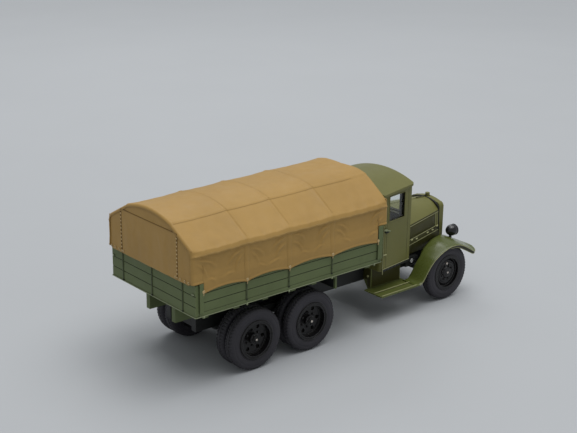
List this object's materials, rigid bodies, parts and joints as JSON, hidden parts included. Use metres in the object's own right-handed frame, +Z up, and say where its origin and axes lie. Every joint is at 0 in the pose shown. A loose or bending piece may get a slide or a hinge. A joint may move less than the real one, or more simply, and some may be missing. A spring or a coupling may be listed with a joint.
{
  "type": "scale model of a three-axle military cargo truck",
  "caption": "Small scale model of an old military cargo truck: planked bed under a canvas tilt, closed cab, long bonnet, and wheels that roll on axle rods.",
  "frame": {"origin": "on the ground, under the middle of the truck's length and width", "axes": "+X forward, +Y to the truck's left, +Z up"},
  "size_m": [0.1568, 0.0556, 0.0644],
  "materials": {
    "tilt_canvas": "satin moulded tan",
    "bed_green": "matte olive green",
    "cab_green": "satin olive green paint",
    "chassis_black": "satin black",
    "wheel_black": "satin black",
    "tyre_black": "matte black",
    "steel": "bright turned",
    "clear": "clear moulded",
    "seat_brown": "matte dark brown",
    "lamp_black": "gloss black",
    "core_black": "matte dark core"
  },
  "bodies": {
    "truck": {"bed_floor": "bed_green", "bogie_brackets": "chassis_black", "bogie_springs": "chassis_black", "bonnet": "cab_green", "cab_back": "cab_green", "cab_floor": "cab_green", "cab_front": "cab_green", "cab_glass": "clear", "cab_roof": "cab_green", "cross_bearers": "bed_green", "crossmember_cab": "chassis_black", "crossmember_front": "chassis_black", "crossmember_middle": "chassis_black", "crossmember_rear": "chassis_black", "dashboard": "cab_green", "door_left": "cab_green", "door_right": "cab_green", "engine_aprons": "cab_green", "engine_block": "chassis_black", "fender_left": "cab_green", "fender_right": "cab_green", "frame_rail_left": "chassis_black", "frame_rail_right": "chassis_black", "front_axle_beam": "chassis_black", "front_springs": "chassis_black", "headboard": "bed_green", "headlamp_lenses": "clear", "headlamps": "lamp_black", "longerons": "bed_green", "middle_axle_housing": "chassis_black", "mud_boards": "bed_green", "propeller_shafts": "chassis_black", "radiator_cap": "cab_green", "radiator_core": "core_black", "radiator_shell": "cab_green", "rear_axle_housing": "chassis_black", "running_board_left": "cab_green", "running_board_right": "cab_green", "seat": "seat_brown", "side_board_left": "bed_green", "side_board_right": "bed_green", "spring_hangers": "chassis_black", "steering_wheel": "wheel_black", "step_brackets": "chassis_black", "tailgate": "bed_green", "tilt": "tilt_canvas"},
    "front_wheelset": {"front_axle_rod": "steel", "front_tyres": "tyre_black", "front_wheels": "wheel_black"},
    "middle_wheelset": {"middle_axle_rod": "steel", "middle_tyres": "tyre_black", "middle_wheels": "wheel_black"},
    "rear_wheelset": {"rear_axle_rod": "steel", "rear_tyres": "tyre_black", "rear_wheels": "wheel_black"}
  },
  "joints": [
    {"name": "front_wheels_roll", "type": "hinge", "parent": "truck", "child": "front_wheelset", "pos_m": [0.06065, 0, 0.0122], "axis": [0, 1, 0], "continuous": true},
    {"name": "middle_wheels_roll", "type": "hinge", "parent": "truck", "child": "middle_wheelset", "pos_m": [-0.01995, 0, 0.0122], "axis": [0, 1, 0], "continuous": true},
    {"name": "rear_wheels_roll", "type": "hinge", "parent": "truck", "child": "rear_wheelset", "pos_m": [-0.04735, 0, 0.0122], "axis": [0, 1, 0], "continuous": true}
  ]
}
